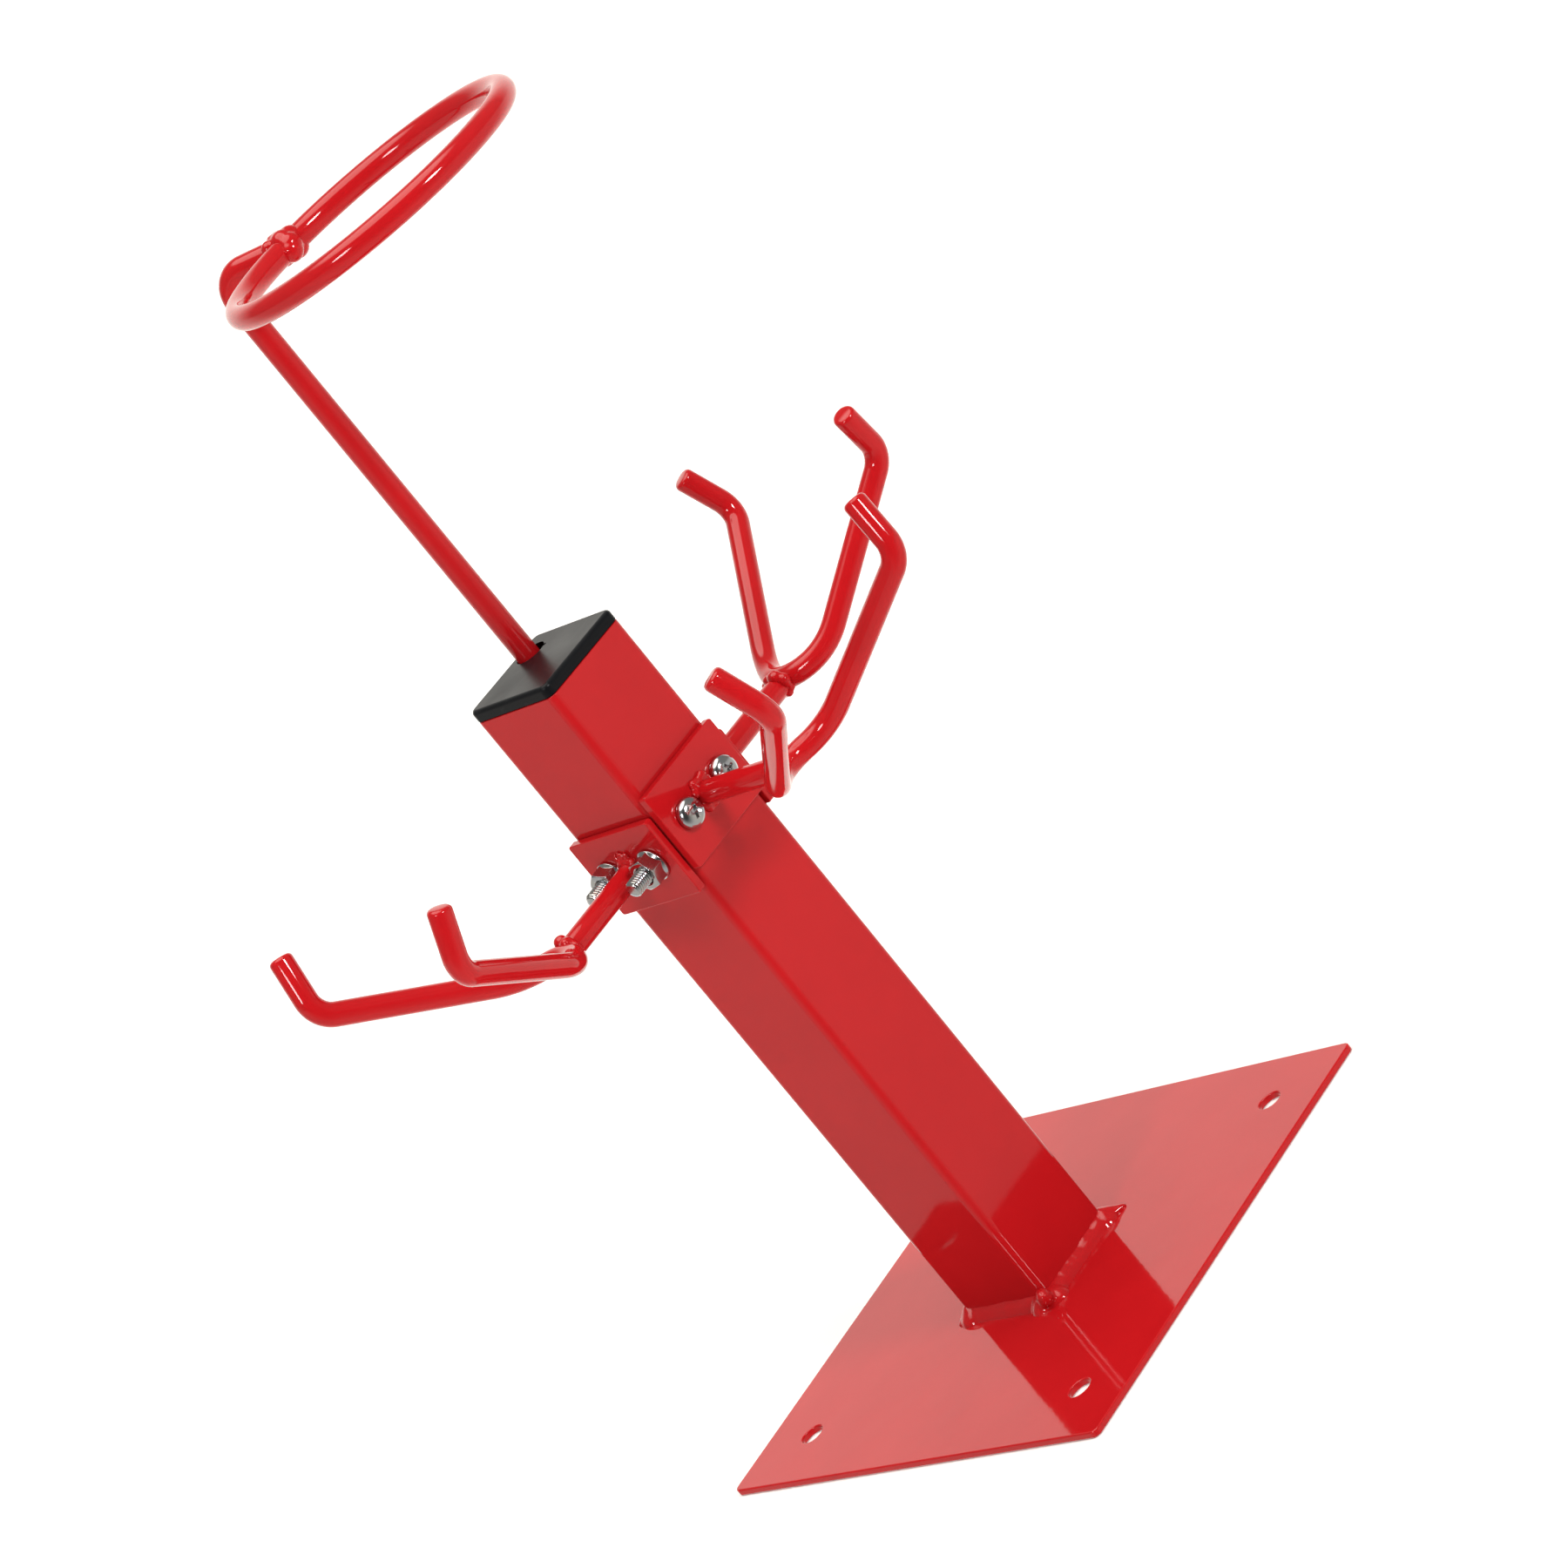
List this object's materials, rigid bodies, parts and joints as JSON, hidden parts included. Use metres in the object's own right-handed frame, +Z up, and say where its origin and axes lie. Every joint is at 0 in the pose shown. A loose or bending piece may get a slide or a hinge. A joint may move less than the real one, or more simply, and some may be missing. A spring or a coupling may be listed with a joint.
{
  "type": "spray gun stand",
  "caption": "Bench stand that holds spray guns in forked cradles round a square post, with a swivelling strainer ring on a rod above.",
  "frame": {"origin": "centre of the base plate's underside", "axes": "+Z up along the post, -Y out along the front cradle, +X out along the side cradle"},
  "size_m": [0.2149, 0.2588, 0.4274],
  "materials": {
    "red_powder_coat": "gloss powder coat",
    "black_plastic": "semi-gloss moulded plastic",
    "bright_zinc": "bright zinc plate"
  },
  "bodies": {
    "stand": {"base_plate": "red_powder_coat", "post_tube": "red_powder_coat", "foot_weld": "red_powder_coat", "end_cap": "black_plastic", "front_plate": "red_powder_coat", "front_fork": "red_powder_coat", "front_arm": "red_powder_coat", "front_fork_weld": "red_powder_coat", "front_plate_weld_upper": "red_powder_coat", "front_plate_weld_lower": "red_powder_coat", "side_plate": "red_powder_coat", "side_fork": "red_powder_coat", "side_arm": "red_powder_coat", "side_fork_weld": "red_powder_coat", "side_plate_weld_upper": "red_powder_coat", "side_plate_weld_lower": "red_powder_coat", "rear_plate": "red_powder_coat", "rear_fork": "red_powder_coat", "rear_arm": "red_powder_coat", "rear_fork_weld": "red_powder_coat", "rear_plate_weld_upper": "red_powder_coat", "rear_plate_weld_lower": "red_powder_coat", "lengthwise_screw_left": "bright_zinc", "lengthwise_nut_left": "bright_zinc", "lengthwise_screw_right": "bright_zinc", "lengthwise_nut_right": "bright_zinc", "crosswise_screw_left": "bright_zinc", "crosswise_nut_left": "bright_zinc", "crosswise_screw_right": "bright_zinc", "crosswise_nut_right": "bright_zinc"},
    "strainer": {"strainer_rod": "red_powder_coat", "strainer_ring": "red_powder_coat", "ring_weld": "red_powder_coat"}
  },
  "joints": [
    {"name": "strainer_swivel", "type": "hinge", "parent": "stand", "child": "strainer", "pos_m": [-0.0125, 0.00725, 0.2683], "axis": [0, 0, 1], "continuous": true}
  ]
}
